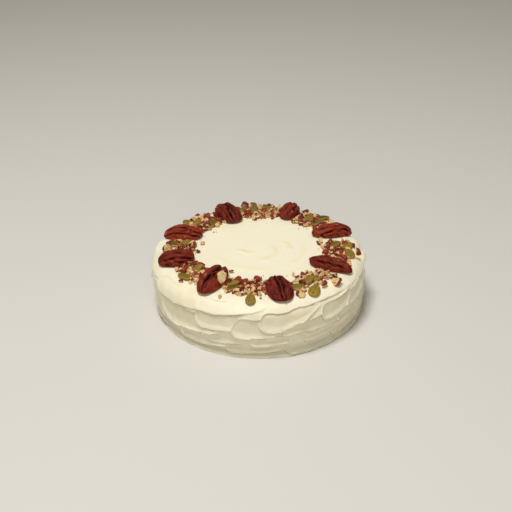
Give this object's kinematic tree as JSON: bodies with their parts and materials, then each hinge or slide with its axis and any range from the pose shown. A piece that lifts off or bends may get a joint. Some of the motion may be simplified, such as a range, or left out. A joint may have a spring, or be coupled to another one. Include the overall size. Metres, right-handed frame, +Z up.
{
  "type": "pumpkin cake",
  "caption": "Low round pumpkin cake under cream-cheese icing worked with a palette knife, ringed on top with pecan halves, chopped pecans and pumpkin seeds.",
  "frame": {"origin": "middle of the flat underside", "axes": "+Z up, -Y the front"},
  "size_m": [0.1596, 0.1582, 0.0522],
  "materials": {
    "icing": "soft satin cream-cheese icing",
    "pecan": "satin roasted nut skin",
    "chopped_nut": "matte chopped nut, pale flesh with brown skin",
    "seed": "satin green seed skin"
  },
  "bodies": {
    "root": {"frosted_cake": "icing", "pecan_half_1": "pecan", "pecan_half_2": "pecan", "pecan_half_3": "pecan", "pecan_half_4": "pecan", "pecan_half_5": "pecan", "pecan_half_6": "pecan", "pecan_half_7": "pecan", "pecan_half_8": "pecan"}
  },
  "joints": []
}
